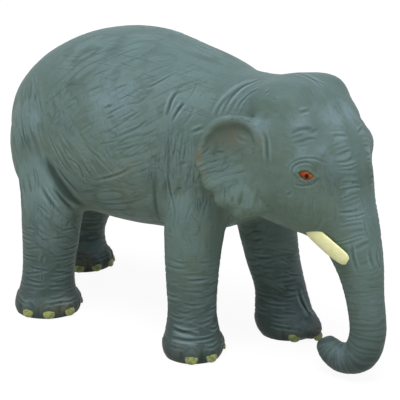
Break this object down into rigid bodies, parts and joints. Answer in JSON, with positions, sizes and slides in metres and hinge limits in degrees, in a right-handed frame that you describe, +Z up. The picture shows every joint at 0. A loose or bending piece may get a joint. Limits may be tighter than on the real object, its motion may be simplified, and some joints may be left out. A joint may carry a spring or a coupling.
{
  "type": "toy elephant figure",
  "caption": "Walking Asian elephant toy figure in soft grey-green rubber, with set-in tusks, eyes and toenails, standing on flat soles.",
  "frame": {"origin": "centre of the bounding box's bottom face, on the ground under the belly", "axes": "+X from the tail to the trunk, +Y to the animal's left, +Z up"},
  "size_m": [0.331, 0.1288, 0.2011],
  "materials": {
    "skin_rubber": "satin painted rubber, grey-green, darker in the creases",
    "filling_fibre": "loose white fibre, hidden",
    "tusk_paint": "cream yellow paint, satin",
    "nail_paint": "yellow-green paint, satin",
    "iris_paint": "orange brown paint, satin",
    "pupil_paint": "black paint, satin"
  },
  "bodies": {
    "root": {"torso_skin": "skin_rubber", "head_skin": "skin_rubber", "ear_right": "skin_rubber", "ear_left": "skin_rubber", "tail": "skin_rubber", "belly_plug": "skin_rubber", "leg_front_right": "skin_rubber", "leg_front_left": "skin_rubber", "leg_hind_right": "skin_rubber", "leg_hind_left": "skin_rubber", "torso_filling": "filling_fibre", "head_filling": "filling_fibre", "leg_filling_front_right": "filling_fibre", "leg_filling_front_left": "filling_fibre", "leg_filling_hind_right": "filling_fibre", "leg_filling_hind_left": "filling_fibre", "tusk_right": "tusk_paint", "tusk_left": "tusk_paint", "nail_front_right_1": "nail_paint", "nail_front_right_2": "nail_paint", "nail_front_right_3": "nail_paint", "nail_front_left_1": "nail_paint", "nail_front_left_2": "nail_paint", "nail_front_left_3": "nail_paint", "nail_hind_right_1": "nail_paint", "nail_hind_right_2": "nail_paint", "nail_hind_right_3": "nail_paint", "nail_hind_right_4": "nail_paint", "nail_hind_left_1": "nail_paint", "nail_hind_left_2": "nail_paint", "nail_hind_left_3": "nail_paint", "nail_hind_left_4": "nail_paint", "eye_right": "iris_paint", "eye_left": "iris_paint", "pupil_right": "pupil_paint", "pupil_left": "pupil_paint"}
  },
  "joints": []
}
